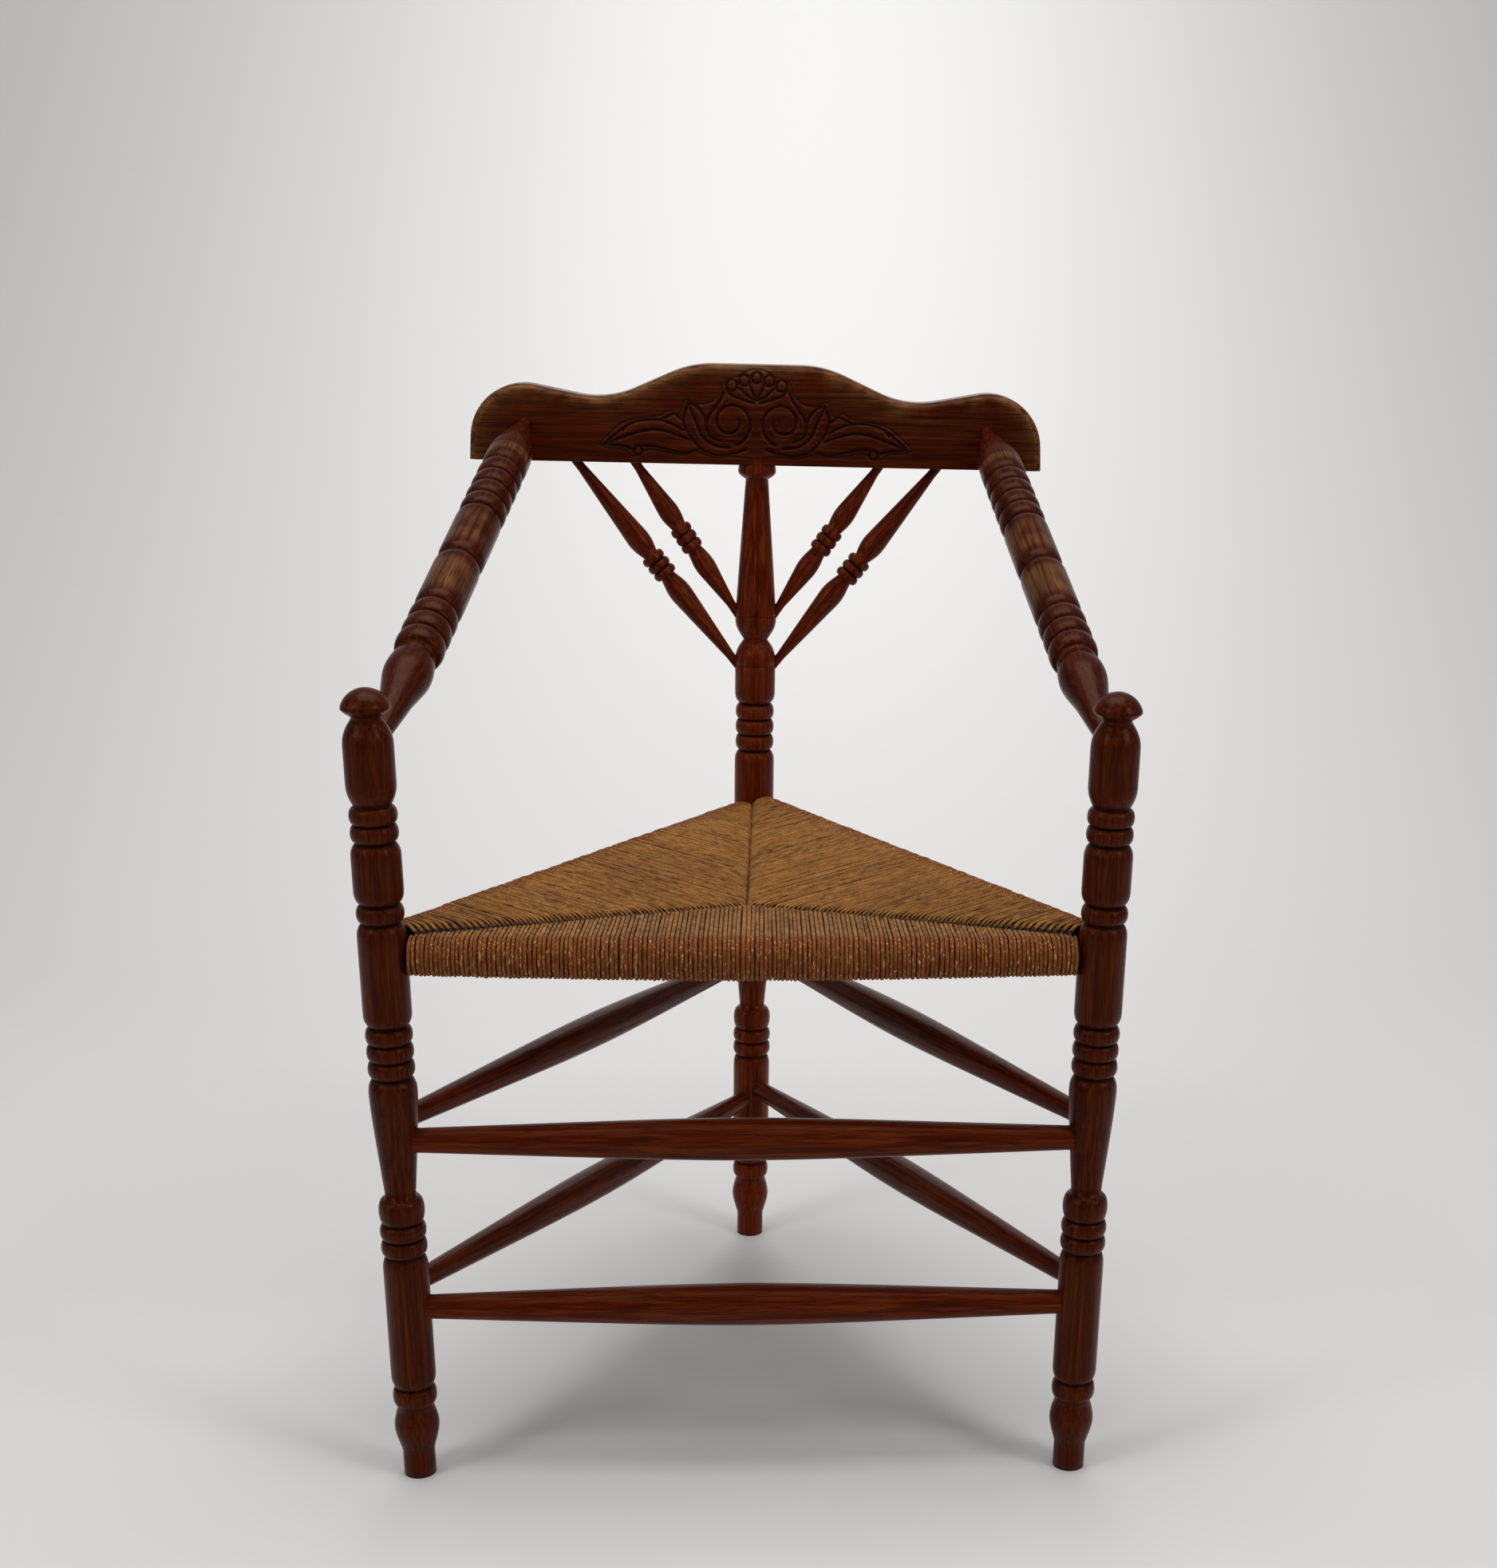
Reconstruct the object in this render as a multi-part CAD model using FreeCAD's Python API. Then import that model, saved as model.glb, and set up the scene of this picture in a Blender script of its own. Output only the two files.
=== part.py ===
import FreeCAD, Part
import math
import os

from FreeCAD import Placement, Rotation, Vector

# Three-legged corner chair of turned oak with a woven rush seat, in millimetres.
# X runs to the right and Y to the back as the chair is seen from its wide front side.
# Z is up, and the origin is on the floor under the middle of the chair.
# Left and right are as seen from the front. A height on a post is measured along the post.

# Plan and lean of the three posts
front_post_spacing = 528.4
post_row_depth = 467.8
front_post_splay = 1.13
back_post_lean = 0.6

# Leg turning that the three posts share, from the floor up
foot_diameter = 25.5
ankle_height = 22.0
foot_swell_diameter = 35.5
foot_swell_rise = 17.0
foot_swell_length = 40.5
foot_swell_fall = 14.0
foot_bead_height = 15.3
foot_bead_diameter = 34.8
groove_diameter = 30.5
lower_barrel_height = 115.0
lower_barrel_diameter = 35.2
bead_height = 13.5
bead_diameter = 36.0
lower_bead_count = 2
flare_height = 21.5
flare_diameter = 35.6
flare_slope = 14.5
neck_diameter = 26.8
leg_taper_height = 79.5
leg_taper_diameter = 37.8
leg_shoulder_height = 17.5
leg_shoulder_diameter = 36.6
upper_bead_count = 3
ring_bevel = 3.0

# Front posts above the leg
seat_barrel_height = 83.0
seat_barrel_diameter = 37.0
seat_bead_count = 1
middle_barrel_height = 48.5
middle_barrel_diameter = 37.5
middle_bead_count = 2
arm_barrel_height = 67.0
arm_barrel_diameter = 37.5
arm_barrel_lower_slope = 9.0
arm_barrel_shoulder_slope = 13.0
finial_neck_diameter = 25.0
finial_diameter = 37.0
finial_rim_height = 8.0
finial_rim_slope = 5.0
finial_dome_height = 13.5

# Back post above the leg
back_barrel_height = 118.2
back_barrel_diameter = 37.3
back_bead_height = 14.6
back_bead_count = 3
spindle_barrel_height = 60.8
spindle_barrel_diameter = 37.7
spindle_barrel_slope = 11.0
back_neck_diameter = 25.5
upper_collar_diameter = 38.1
upper_collar_height = 24.2
upper_collar_slope = 12.0
back_taper_height = 123.5
back_taper_top_diameter = 24.2
crest_collar_height = 13.5
crest_collar_diameter = 34.8
crest_collar_slope = 4.0
crest_tenon_diameter = 20.0
crest_tenon_length = 38.0

# Joints
joint_clearance = 0.1
glue_gap = 1.0
socket_mouth = 2.0

# Stretchers: heights on the posts, thickness in the middle and at the ends
front_stretcher_diameter = 34.0
front_stretcher_end_diameter = 19.5
upper_front_stretcher_height = 288.0
lower_front_stretcher_height = 146.5
side_stretcher_diameter = 30.0
side_stretcher_end_diameter = 16.5
upper_side_stretcher_front_height = 303.0
upper_left_stretcher_back_height = 293.0
upper_right_stretcher_back_height = 305.0
lower_side_stretcher_front_height = 164.0
lower_left_stretcher_back_height = 147.0
lower_right_stretcher_back_height = 159.0
stretcher_crown_length = 130.0
stretcher_stop_from_axis = 9.0

# Seat rails, hidden in the rush
rail_diameter = 22.0
rail_end_diameter = 12.0
rail_taper_length = 45.0
rail_stop_from_axis = 9.6
front_rail_height = 438.0
side_rail_front_height = 444.5
left_rail_back_height = 437.0
right_rail_back_height = 442.0

# Rush seat
rush_roll_diameter = 30.4
seat_middle_from_front = 142.0
seat_middle_top = 439.0
seat_middle_thickness = 13.0
rush_layer = 4.0
soft_clearance = 0.3
stuffing_from_rail = 2.0
stuffing_from_seam = 9.0

# Crest rail: corners of its right half as (across, above its bottom, rounding), from the top to the bottom
crest_corners = [(60.0, 88.6, 98.0), (136.0, 54.7, 86.0), (257.0, 77.3, 49.0), (260.5, 0.0, 0.0)]
crest_thickness = 32.0
crest_front_edge_radius = 8.0
crest_back_edge_radius = 4.0

# Arms, from the crest rail to the front posts
arm_across_crest = 209.5
arm_above_crest_bottom = 33.0
arm_height_on_post = 590.0
arm_tip_diameter = 11.0
arm_tip_depth = 18.0
arm_tip_parallel = 4.0
arm_cone_length = 46.0
arm_cone_diameter = 36.5
arm_shoulder_length = 40.0
arm_shoulder_slope = 12.0
arm_diameter = 39.0
arm_bead_length = 19.3
arm_bead_diameter = 39.5
arm_groove_diameter = 34.5
arm_rear_bead_count = 4
arm_front_bead_count = 3
arm_barrel_count = 2
arm_bulb_diameter = 38.0
arm_bulb_length = 57.0
arm_bulb_rise = 20.0
arm_bulb_fall = 26.0
arm_neck_diameter = 27.0
arm_neck_length = 46.0
arm_tenon_diameter = 15.0
arm_parallel_before_axis = 30.0
arm_tenon_past_axis = 8.0

# Back spindles, from the crest rail down to the back post
outer_spindle_across_crest = 165.5
outer_spindle_aim_height = 559.5
outer_spindle_diameter = 22.2
inner_spindle_across_crest = 112.0
inner_spindle_aim_height = 604.0
inner_spindle_diameter = 20.3
spindle_tenon_diameter = 8.3
spindle_depth_in_crest = 16.0
spindle_stop_from_axis = 6.0
spindle_parallel_end = 8.0
spindle_groove_diameter = 17.5
spindle_bead_length = 8.4
spindle_bead_count = 3
spindle_upper_fall = 13.0
spindle_lower_rise = 16.0
spindle_upper_share = 0.53


class Turning:
    """Outline of a turned piece from its lower end up; each step goes on from where the last one stopped."""

    def __init__(self, diameter, height=0.0):
        self.here = Vector(diameter / 2, 0, height)
        self.edges = [Part.LineSegment(Vector(0, 0, height), self.here)]

    def point(self, length, diameter):
        return Vector(diameter / 2, 0, self.here.z + length)

    def add(self, curve, end):
        self.edges.append(curve)
        self.here = end

    def straight(self, length, diameter):
        """Cylinder, taper or, with no length, a flat shoulder."""
        end = self.point(length, diameter)
        self.add(Part.LineSegment(self.here, end), end)

    def ring(self, length, diameter, lower_slope, upper_slope, end_diameter):
        """Raised band with sloping edges, from a thin fillet to a long barrel."""
        self.straight(lower_slope, diameter)
        self.straight(length - lower_slope - upper_slope, diameter)
        self.straight(upper_slope, end_diameter)

    def beads(self, count, length, diameter):
        """Equal beads with a groove of the present diameter between them."""
        for _ in range(count):
            self.ring(length, diameter, ring_bevel, ring_bevel, 2 * self.here.x)

    def ridges(self, count, length, diameter):
        """Equal sharp ridges with a groove of the present diameter between them."""
        groove = 2 * self.here.x
        for _ in range(count):
            self.straight(length / 2, diameter)
            self.straight(length / 2, groove)

    def dome(self, height):
        """Round top that closes on the axis."""
        radius = (self.here.x ** 2 + height ** 2) / (2 * height)
        end = self.point(height, 0)
        centre_height = end.z - radius
        half_turn = math.atan2(self.here.x, self.here.z - centre_height) / 2
        middle = Vector(radius * math.sin(half_turn), 0, centre_height + radius * math.cos(half_turn))
        self.add(Part.Arc(self.here, middle, end), end)

    def solid(self):
        edges = list(self.edges)
        top = Vector(0, 0, self.here.z)
        if self.here.x > 0:
            edges.append(Part.LineSegment(self.here, top))
        edges.append(Part.LineSegment(top, self.edges[0].StartPoint))
        outline = Part.Wire([edge.toShape() for edge in edges])
        return Part.Face(outline).revolve(Vector(0, 0, 0), Vector(0, 0, 1), 360)


class Post:
    """Turned post on its leaning axis, with the holes bored in it so far."""

    def __init__(self, x, y, lean, turned):
        self.frame = Placement(Vector(x, y, 0), Rotation(Vector(0, 1, 0), lean))
        self.turned = turned
        self.shape = placed(turned, self.frame).cut(below_floor())

    def at(self, height):
        return self.frame.multVec(Vector(0, 0, height))

    def radius(self, height):
        around = self.turned.slice(Vector(0, 0, 1), height)[0]
        return around.Length / (2 * math.pi)

    def bore(self, hole):
        self.shape = self.shape.cut(hole)


def placed(shape, frame):
    copy = shape.copy()
    copy.Placement = frame
    return copy


def along(start, end):
    """Frame at one point whose Z axis runs to another."""
    return Placement(start, Rotation(Vector(0, 0, 1), end - start))


def below_floor():
    """Block that trims a leaning post flat on the floor."""
    size = 4 * (front_post_spacing + post_row_depth)
    return Part.makeBox(size, size, foot_diameter, Vector(-size / 2, -size / 2, -foot_diameter))


def round_hole(frame, start, end, diameter):
    """Hole for a plain round tenon along a frame's Z axis, open at its end."""
    radius = diameter / 2 + joint_clearance
    return placed(Part.makeCylinder(radius, end - start, Vector(0, 0, start)), frame)


# Posts


def leg_turning():
    """The three posts are alike from the floor to the top of the leg beads."""
    foot_trim = foot_diameter * math.sin(math.radians(front_post_splay + back_post_lean))
    leg = Turning(foot_diameter, -foot_trim)
    leg.straight(foot_trim + ankle_height, foot_diameter)
    leg.ring(foot_swell_length, foot_swell_diameter, foot_swell_rise, foot_swell_fall, groove_diameter)
    leg.ring(foot_bead_height, foot_bead_diameter, ring_bevel, ring_bevel, groove_diameter)
    leg.ring(lower_barrel_height, lower_barrel_diameter, ring_bevel, ring_bevel, groove_diameter)
    leg.beads(lower_bead_count, bead_height, bead_diameter)
    leg.ring(flare_height, flare_diameter, ring_bevel, flare_slope, neck_diameter)
    leg.straight(leg_taper_height, leg_taper_diameter)
    leg.straight(leg_shoulder_height, leg_shoulder_diameter)
    leg.straight(ring_bevel, groove_diameter)
    leg.beads(upper_bead_count, bead_height, bead_diameter)
    return leg


def front_post_solid():
    post = leg_turning()
    post.ring(seat_barrel_height, seat_barrel_diameter, ring_bevel, ring_bevel, groove_diameter)
    post.beads(seat_bead_count, bead_height, bead_diameter)
    post.ring(middle_barrel_height, middle_barrel_diameter, ring_bevel, ring_bevel, groove_diameter)
    post.beads(middle_bead_count, bead_height, bead_diameter)
    post.ring(arm_barrel_height, arm_barrel_diameter, arm_barrel_lower_slope, arm_barrel_shoulder_slope,
              finial_neck_diameter)
    post.straight(finial_rim_slope, finial_diameter)
    post.straight(finial_rim_height - finial_rim_slope, finial_diameter)
    post.dome(finial_dome_height)
    return post.solid()


def back_post_turning():
    post = leg_turning()
    post.ring(back_barrel_height, back_barrel_diameter, ring_bevel, ring_bevel, groove_diameter)
    post.beads(back_bead_count, back_bead_height, bead_diameter)
    post.ring(spindle_barrel_height, spindle_barrel_diameter, ring_bevel, spindle_barrel_slope,
              back_neck_diameter)
    post.straight(upper_collar_slope, upper_collar_diameter)
    post.straight(upper_collar_height - upper_collar_slope, upper_collar_diameter)
    post.straight(back_taper_height, back_taper_top_diameter)
    post.ring(crest_collar_height, crest_collar_diameter, crest_collar_slope, crest_collar_slope,
              back_taper_top_diameter)
    return post


def add_crest_tenon(post):
    post.straight(0, crest_tenon_diameter)
    post.straight(crest_tenon_length, crest_tenon_diameter)
    return post.solid()


# Stretchers and seat rails


def cross_member(start_post, start_height, end_post, end_height, end_diameter, stop, draw_body):
    """Turned member between two posts. Its ends are plain round tenons, and their holes are bored in both."""
    start = start_post.at(start_height)
    end = end_post.at(end_height)
    first_mouth = start_post.radius(start_height) + socket_mouth
    last_mouth = end_post.radius(end_height) + socket_mouth
    length = start.distanceToPoint(end)
    piece = Turning(end_diameter, stop)
    piece.straight(first_mouth - stop, end_diameter)
    draw_body(piece, length - first_mouth - last_mouth)
    piece.straight(last_mouth - stop, end_diameter)
    start_post.bore(round_hole(along(start, end), stop, 2 * first_mouth, end_diameter))
    end_post.bore(round_hole(along(end, start), stop, 2 * last_mouth, end_diameter))
    return placed(piece.solid(), along(start, end))


def stretcher_body(end_diameter, middle_diameter):
    """Straight double taper with a slacker crown in the middle."""

    def draw(piece, length):
        taper = (length - stretcher_crown_length) / 2
        slope = (middle_diameter - end_diameter) / (taper + stretcher_crown_length / 4)
        crown_diameter = end_diameter + slope * taper
        piece.straight(taper, crown_diameter)
        piece.straight(stretcher_crown_length / 2, middle_diameter)
        piece.straight(stretcher_crown_length / 2, crown_diameter)
        piece.straight(taper, end_diameter)

    return draw


def rail_body(piece, length):
    """Plain round rail with tapered ends."""
    piece.straight(rail_taper_length, rail_diameter)
    piece.straight(length - 2 * rail_taper_length, rail_diameter)
    piece.straight(rail_taper_length, rail_end_diameter)


def front_stretcher(left_post, right_post, height):
    body = stretcher_body(front_stretcher_end_diameter, front_stretcher_diameter)
    return cross_member(left_post, height, right_post, height, front_stretcher_end_diameter,
                        stretcher_stop_from_axis, body)


def side_stretcher(front_post, front_height, back_post, back_height):
    body = stretcher_body(side_stretcher_end_diameter, side_stretcher_diameter)
    return cross_member(front_post, front_height, back_post, back_height, side_stretcher_end_diameter,
                        stretcher_stop_from_axis, body)


def seat_rail(start_post, start_height, end_post, end_height):
    return cross_member(start_post, start_height, end_post, end_height, rail_end_diameter,
                        rail_stop_from_axis, rail_body)


# Crest rail, arms and spindles


def rounded_corner(before, corner, after, radius):
    """Start, middle and end of the arc that rounds a corner of an outline."""
    back = (before - corner).normalize()
    onward = (after - corner).normalize()
    half_angle = back.getAngle(onward) / 2
    cut = radius / math.tan(half_angle)
    inward = (back + onward).normalize()
    middle = corner + inward * (radius / math.sin(half_angle) - radius)
    return corner + back * cut, middle, corner + onward * cut


def crest_solid():
    """Scroll-topped board, standing on its flat bottom with its middle at the origin."""
    front = -crest_thickness / 2
    right = [(Vector(across, front, above), rounding) for across, above, rounding in crest_corners]
    left = [(Vector(-point.x, point.y, point.z), rounding) for point, rounding in reversed(right)]
    corners = left + right
    edges = []
    here = corners[0][0]
    for (before, _), (corner, rounding), (after, _) in zip(corners, corners[1:], corners[2:]):
        start, middle, end = rounded_corner(before, corner, after, rounding)
        edges.append(Part.LineSegment(here, start))
        edges.append(Part.Arc(start, middle, end))
        here = end
    edges.append(Part.LineSegment(here, corners[-1][0]))
    edges.append(Part.LineSegment(corners[-1][0], corners[0][0]))
    outline = Part.Wire([edge.toShape() for edge in edges])
    board = Part.Face(outline).extrude(Vector(0, crest_thickness, 0))
    board = board.makeFillet(crest_front_edge_radius, upper_edges(board, front))
    return board.makeFillet(crest_back_edge_radius, upper_edges(board, -front))


def upper_edges(board, y):
    """Edges of the crest rail's face at the given depth, without the one along its bottom."""
    close = 0.01
    edges = []
    for edge in board.Edges:
        box = edge.BoundBox
        in_face = abs(box.YMin - y) < close and abs(box.YMax - y) < close
        if in_face and box.ZMax > close:
            edges.append(edge)
    return edges


def spindle(crest_frame, back_post, side, across, aim_height, diameter, crest_height):
    """Spindle in the plane of the back, from the crest rail's bottom to the back post."""
    top = Vector(side * across, 0, crest_height)
    aim = Vector(0, 0, aim_height)
    lean = math.atan2(across, crest_height - aim_height)
    length = top.distanceToPoint(aim) - spindle_stop_from_axis / math.sin(lean)
    surface = back_post.radius(aim_height + upper_collar_diameter / 2 / math.tan(lean)) / math.sin(lean)
    visible = top.distanceToPoint(aim) - surface - 2 * spindle_parallel_end
    middle = spindle_upper_fall + spindle_bead_count * spindle_bead_length + spindle_lower_rise
    upper_taper = (visible - middle) * spindle_upper_share
    lower_taper = visible - middle - upper_taper
    piece = Turning(spindle_tenon_diameter, -spindle_depth_in_crest)
    piece.straight(spindle_depth_in_crest + spindle_parallel_end, spindle_tenon_diameter)
    piece.straight(upper_taper, diameter)
    piece.straight(spindle_upper_fall, spindle_groove_diameter)
    piece.ridges(spindle_bead_count, spindle_bead_length, diameter)
    piece.straight(spindle_lower_rise, diameter)
    piece.straight(lower_taper, spindle_tenon_diameter)
    piece.straight(length - piece.here.z, spindle_tenon_diameter)
    frame = crest_frame.multiply(along(top, aim))
    return placed(piece.solid(), frame), frame, length


def arm(crest_point, post_point):
    """Arm from its tip in the crest rail's face down to its tenon in a front post."""
    length = crest_point.distanceToPoint(post_point)
    bead_run = (arm_rear_bead_count + arm_front_bead_count) * arm_bead_length
    rear_run = arm_tip_parallel + arm_cone_length + arm_shoulder_length
    front_run = arm_bulb_length + arm_neck_length + arm_parallel_before_axis
    barrel_length = (length - bead_run - rear_run - front_run) / arm_barrel_count
    piece = Turning(arm_tip_diameter, -arm_tip_depth)
    piece.straight(arm_tip_depth + arm_tip_parallel, arm_tip_diameter)
    piece.straight(arm_cone_length, arm_cone_diameter)
    piece.ring(arm_shoulder_length, arm_diameter, arm_shoulder_slope, ring_bevel, arm_groove_diameter)
    piece.beads(arm_rear_bead_count, arm_bead_length, arm_bead_diameter)
    for _ in range(arm_barrel_count):
        piece.ring(barrel_length, arm_diameter, ring_bevel, ring_bevel, arm_groove_diameter)
    piece.beads(arm_front_bead_count, arm_bead_length, arm_bead_diameter)
    piece.ring(arm_bulb_length, arm_bulb_diameter, arm_bulb_rise, arm_bulb_fall, arm_neck_diameter)
    piece.straight(arm_neck_length, arm_tenon_diameter)
    piece.straight(arm_parallel_before_axis + arm_tenon_past_axis, arm_tenon_diameter)
    return placed(piece.solid(), along(crest_point, post_point))


# Rush seat


class Panel:
    """One of the three panels of the seat, in its own frame with X into the seat and Z along its rail."""

    def __init__(self, start, end, corners, middle):
        self.start = start
        self.end = end
        self.corners = corners
        self.middle = middle
        lengthwise = (end - start).normalize()
        inward = middle - start
        inward = inward - lengthwise * inward.dot(lengthwise)
        inward.z = 0
        inward.normalize()
        upward = lengthwise.cross(inward)
        self.inward = inward
        self.frame = Placement(start, Rotation(inward, upward, lengthwise, "ZXY"))
        self.reach = (middle - start).dot(inward)
        rail_height = (start.z + end.z) / 2
        self.top = seat_middle_top - rail_height
        self.bottom = self.top - seat_middle_thickness

    def extruded(self, section):
        return placed(section, self.frame).extrude(self.end - self.start)

    def sector(self, margin):
        """Upright prism over the panel's triangle, which stays clear of the seams by the margin."""
        depth = 4 * rush_roll_diameter
        outward = self.inward * -rush_roll_diameter
        first, last = self.corners
        corners = [first + outward, first, self.middle, last, last + outward]
        flat = [Vector(corner.x, corner.y, 0) for corner in corners]
        outline = Part.makePolygon(flat + flat[:1])
        if margin > 0:
            outline = outline.makeOffset2D(-margin)
        prism = Part.Face(outline).extrude(Vector(0, 0, depth))
        prism.translate(Vector(0, 0, self.start.z - depth / 2))
        return prism


def seat_panel(start_post, start_height, end_post, end_height, middle):
    corners = (start_post.at(side_rail_front_height), end_post.at(side_rail_front_height))
    return Panel(start_post.at(start_height), end_post.at(end_height), corners, middle)


def panel_solid(panel):
    """Rush roll over the rail that thins towards the middle of the seat."""
    radius = rush_roll_diameter / 2
    roll = Part.Arc(Vector(0, radius, 0), Vector(-radius, 0, 0), Vector(0, -radius, 0))
    middle_bottom = Vector(panel.reach, panel.bottom, 0)
    middle_top = Vector(panel.reach, panel.top, 0)
    slopes = Part.makePolygon([Vector(0, -radius, 0), middle_bottom, middle_top, Vector(0, radius, 0)])
    section = Part.Face(Part.Wire([roll.toShape()] + slopes.Edges))
    return panel.extruded(section).common(panel.sector(0))


def stuffing_solid(panel, growth):
    """Pad between the upper and lower layers of rush, grown by a little for the pocket around it."""
    radius = rush_roll_diameter / 2
    layer = rush_layer + soft_clearance - growth
    near = rail_diameter / 2 + stuffing_from_rail + soft_clearance - growth
    far = panel.reach - stuffing_from_seam

    def height_at(distance, middle_height, edge_height):
        return edge_height + (middle_height - edge_height) * distance / panel.reach

    corners = [
        Vector(near, height_at(near, panel.bottom, -radius) + layer, 0),
        Vector(far, height_at(far, panel.bottom, -radius) + layer, 0),
        Vector(far, height_at(far, panel.top, radius) - layer, 0),
        Vector(near, height_at(near, panel.top, radius) - layer, 0),
    ]
    section = Part.Face(Part.makePolygon(corners + corners[:1]))
    return panel.extruded(section).common(panel.sector(stuffing_from_seam + soft_clearance - growth))


def post_clearance(post):
    """Cylinder that keeps the rush clear of a post."""
    low = side_rail_front_height - rush_roll_diameter
    radius = post.radius(side_rail_front_height) + soft_clearance
    return placed(Part.makeCylinder(radius, 2 * rush_roll_diameter, Vector(0, 0, low)), post.frame)


def rail_clearance(start, end):
    """Tunnel for a seat rail."""
    radius = rail_diameter / 2 + soft_clearance
    return placed(Part.makeCylinder(radius, start.distanceToPoint(end)), along(start, end))


def rush_seat(panels, posts, pockets):
    seat = panel_solid(panels[0])
    for panel in panels[1:]:
        seat = seat.fuse(panel_solid(panel))
    seat = seat.removeSplitter()
    for panel in panels:
        seat = seat.cut(rail_clearance(panel.start, panel.end))
    for post in posts:
        seat = seat.cut(post_clearance(post))
    for pocket in pockets:
        seat = seat.cut(pocket)
    return seat


# Assembly


def build():
    half_spacing = front_post_spacing / 2
    half_depth = post_row_depth / 2
    front_solid = front_post_solid()
    back_turning = back_post_turning()
    crest_height = back_turning.here.z
    back_solid = add_crest_tenon(back_turning)
    left = Post(-half_spacing, -half_depth, -front_post_splay, front_solid)
    right = Post(half_spacing, -half_depth, front_post_splay, front_solid)
    back = Post(0, half_depth, back_post_lean, back_solid)
    parts = {}

    parts["upper_front_stretcher"] = front_stretcher(left, right, upper_front_stretcher_height)
    parts["lower_front_stretcher"] = front_stretcher(left, right, lower_front_stretcher_height)
    parts["front_seat_rail"] = seat_rail(left, front_rail_height, right, front_rail_height)
    sides = [
        ("left", -1, left, upper_left_stretcher_back_height, lower_left_stretcher_back_height,
         left_rail_back_height),
        ("right", 1, right, upper_right_stretcher_back_height, lower_right_stretcher_back_height,
         right_rail_back_height),
    ]
    for name, _, post, upper_back, lower_back, rail_back in sides:
        upper = side_stretcher(post, upper_side_stretcher_front_height, back, upper_back)
        lower = side_stretcher(post, lower_side_stretcher_front_height, back, lower_back)
        parts[f"upper_{name}_stretcher"] = upper
        parts[f"lower_{name}_stretcher"] = lower
        parts[f"{name}_seat_rail"] = seat_rail(post, side_rail_front_height, back, rail_back)

    crest_frame = back.frame.multiply(Placement(Vector(0, 0, crest_height), Rotation()))
    crest = placed(crest_solid(), crest_frame)
    crest = crest.cut(round_hole(crest_frame, -glue_gap, crest_tenon_length + glue_gap, crest_tenon_diameter))
    for name, side, post, _, _, _ in sides:
        crest_point = crest_frame.multVec(
            Vector(side * arm_across_crest, -crest_thickness / 2, arm_above_crest_bottom))
        post_point = post.at(arm_height_on_post)
        parts[f"{name}_arm"] = arm(crest_point, post_point)
        crest = crest.cut(round_hole(along(crest_point, post_point), -arm_tip_depth, arm_tip_depth,
                                     arm_tip_diameter))
        post.bore(round_hole(along(post_point, crest_point), -arm_tenon_past_axis, arm_barrel_diameter,
                             arm_tenon_diameter))
        for place, across, aim, diameter in [
            ("outer", outer_spindle_across_crest, outer_spindle_aim_height, outer_spindle_diameter),
            ("inner", inner_spindle_across_crest, inner_spindle_aim_height, inner_spindle_diameter),
        ]:
            shape, frame, end = spindle(back.frame, back, side, across, aim, diameter, crest_height)
            parts[f"{name}_{place}_spindle"] = shape
            crest = crest.cut(round_hole(frame, -spindle_depth_in_crest, spindle_depth_in_crest,
                                         spindle_tenon_diameter))
            back.bore(round_hole(frame, end - 2 * upper_collar_diameter, end, spindle_tenon_diameter))
    parts["crest_rail"] = crest

    middle = Vector(0, seat_middle_from_front - half_depth, 0)
    panels = [
        seat_panel(left, front_rail_height, right, front_rail_height, middle),
        seat_panel(right, side_rail_front_height, back, right_rail_back_height, middle),
        seat_panel(back, left_rail_back_height, left, side_rail_front_height, middle),
    ]
    for name, panel in zip(("front", "right", "left"), panels):
        parts[f"{name}_seat_stuffing"] = stuffing_solid(panel, 0)
    pockets = [stuffing_solid(panel, soft_clearance) for panel in panels]
    parts["woven_rush_seat"] = rush_seat(panels, (left, right, back), pockets)

    parts["front_left_post"] = left.shape
    parts["front_right_post"] = right.shape
    parts["back_post"] = back.shape
    return parts


os.makedirs("parts", exist_ok=True)
for name, shape in build().items():
    shape.exportStep(f"parts/{name}.step")
    print(f"{name}: {len(shape.Solids)} solid, valid {shape.isValid()}, {shape.Volume:.0f} mm3")
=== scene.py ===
import math
import random

import bpy
import numpy as np
from mathutils import Matrix, Vector


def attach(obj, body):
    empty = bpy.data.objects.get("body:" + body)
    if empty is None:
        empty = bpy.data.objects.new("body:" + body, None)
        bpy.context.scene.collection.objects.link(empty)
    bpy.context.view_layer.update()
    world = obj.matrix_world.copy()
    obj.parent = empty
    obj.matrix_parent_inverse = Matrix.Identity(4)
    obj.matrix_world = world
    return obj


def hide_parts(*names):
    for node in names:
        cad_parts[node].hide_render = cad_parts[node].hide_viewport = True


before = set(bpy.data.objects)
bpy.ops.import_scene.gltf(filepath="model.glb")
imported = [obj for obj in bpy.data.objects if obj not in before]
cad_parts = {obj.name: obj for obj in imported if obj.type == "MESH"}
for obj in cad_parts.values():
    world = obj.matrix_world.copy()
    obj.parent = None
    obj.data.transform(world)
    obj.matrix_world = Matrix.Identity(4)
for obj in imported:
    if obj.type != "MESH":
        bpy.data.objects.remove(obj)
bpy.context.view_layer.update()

MM = 0.001
RANDOM_SEED = 7

# Camera
CAMERA_POSITION = Vector((0.013, -1.861, 0.940))
CAMERA_LENS = 51.3
CAMERA_SENSOR_WIDTH = 36
CAMERA_PITCH = math.radians(16.9)
CAMERA_YAW = math.radians(3.0)
CAMERA_ROLL = math.radians(0.88)
CAMERA_SHIFT = (-0.0804, 0.1036)

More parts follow.
